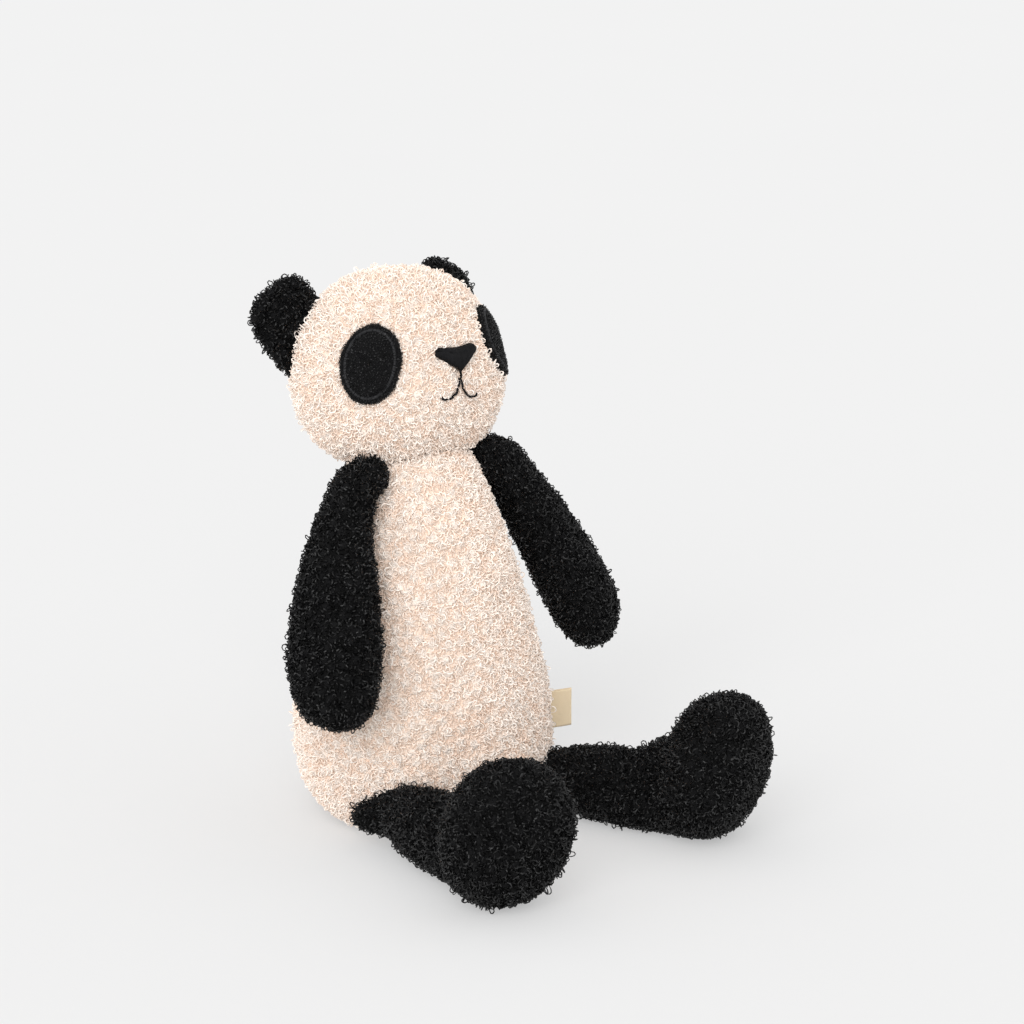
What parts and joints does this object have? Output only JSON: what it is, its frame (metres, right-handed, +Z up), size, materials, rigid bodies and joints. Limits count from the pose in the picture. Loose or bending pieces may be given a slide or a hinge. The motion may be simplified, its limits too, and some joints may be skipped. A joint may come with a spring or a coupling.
{
  "type": "plush panda",
  "caption": "Sitting soft toy panda in looped pile fabric, with a round head, padded ears, stitched face, and arms, legs and head that bend at their seams.",
  "frame": {"origin": "middle of the flat seat, on the surface that the toy sits on", "axes": "+Z up, -Y towards the face, +X towards the toy's own left side"},
  "size_m": [0.2147, 0.2265, 0.2725],
  "materials": {
    "cream_boucle": "looped cream wool-look pile",
    "black_boucle": "looped black wool-look pile",
    "black_thread": "smooth black embroidery thread",
    "fibre": "white stuffing fibre",
    "woven_tape": "plain woven tape"
  },
  "bodies": {
    "torso": {"body_front_panel": "cream_boucle", "body_back_panel": "cream_boucle", "body_filling": "fibre", "side_label": "woven_tape"},
    "neck": {"neck_seam": "black_thread"},
    "head": {"head_face_panel": "cream_boucle", "head_back_panel": "cream_boucle", "head_filling": "fibre", "right_ear": "black_boucle", "left_ear": "black_boucle", "right_eye_patch": "black_boucle", "left_eye_patch": "black_boucle", "right_eye_border": "black_thread", "left_eye_border": "black_thread", "nose": "black_thread", "mouth_thread": "black_thread"},
    "right_shoulder": {"right_shoulder_seam": "black_thread"},
    "right_arm": {"right_arm": "black_boucle", "right_arm_filling": "fibre"},
    "right_hip": {"right_hip_seam": "black_thread"},
    "right_leg": {"right_leg": "black_boucle", "right_leg_filling": "fibre"},
    "left_shoulder": {"left_shoulder_seam": "black_thread"},
    "left_arm": {"left_arm": "black_boucle", "left_arm_filling": "fibre"},
    "left_hip": {"left_hip_seam": "black_thread"},
    "left_leg": {"left_leg": "black_boucle", "left_leg_filling": "fibre"}
  },
  "joints": [
    {"name": "neck_turn", "type": "hinge", "parent": "torso", "child": "neck", "pos_m": [0, 0.0155, 0.186], "axis": [0, 0.2011, 0.9796], "range_deg": [-25, 25], "stiffness_Nm_per_rad": 0.4},
    {"name": "neck_nod", "type": "hinge", "parent": "neck", "child": "head", "pos_m": [0, 0.0155, 0.186], "axis": [1, 0, 0], "range_deg": [-7, 7], "stiffness_Nm_per_rad": 0.4},
    {"name": "right_arm_swing", "type": "hinge", "parent": "torso", "child": "right_shoulder", "pos_m": [-0.04173, -0.00324, 0.17632], "axis": [-0.8663, -0.2899, 0.4067], "range_deg": [-35, 60], "stiffness_Nm_per_rad": 0.15},
    {"name": "right_arm_raise", "type": "hinge", "parent": "right_shoulder", "child": "right_arm", "pos_m": [-0.04173, -0.00324, 0.17632], "axis": [-0.7071, 0.7071, 0], "range_deg": [0, 75], "stiffness_Nm_per_rad": 0.15},
    {"name": "right_leg_spread", "type": "hinge", "parent": "torso", "child": "right_hip", "pos_m": [-0.0443, -0.039, 0.0182], "axis": [0, 0, -1], "range_deg": [-10, 25], "stiffness_Nm_per_rad": 0.15},
    {"name": "right_leg_lift", "type": "hinge", "parent": "right_hip", "child": "right_leg", "pos_m": [-0.0443, -0.039, 0.0182], "axis": [-0.9986, 0.0523, 0], "range_deg": [-75, 30], "stiffness_Nm_per_rad": 0.15},
    {"name": "left_arm_swing", "type": "hinge", "parent": "torso", "child": "left_shoulder", "pos_m": [0.04173, -0.00324, 0.17632], "axis": [-0.8663, 0.2899, -0.4067], "range_deg": [-35, 60], "stiffness_Nm_per_rad": 0.15},
    {"name": "left_arm_raise", "type": "hinge", "parent": "left_shoulder", "child": "left_arm", "pos_m": [0.04173, -0.00324, 0.17632], "axis": [-0.0698, -0.9976, 0], "range_deg": [-6, 60], "stiffness_Nm_per_rad": 0.15},
    {"name": "left_leg_spread", "type": "hinge", "parent": "torso", "child": "left_hip", "pos_m": [0.0443, -0.039, 0.0182], "axis": [0, 0, 1], "range_deg": [-10, 25], "stiffness_Nm_per_rad": 0.15},
    {"name": "left_leg_lift", "type": "hinge", "parent": "left_hip", "child": "left_leg", "pos_m": [0.0443, -0.039, 0.0182], "axis": [-0.891, -0.454, 0], "range_deg": [-75, 30], "stiffness_Nm_per_rad": 0.15}
  ]
}
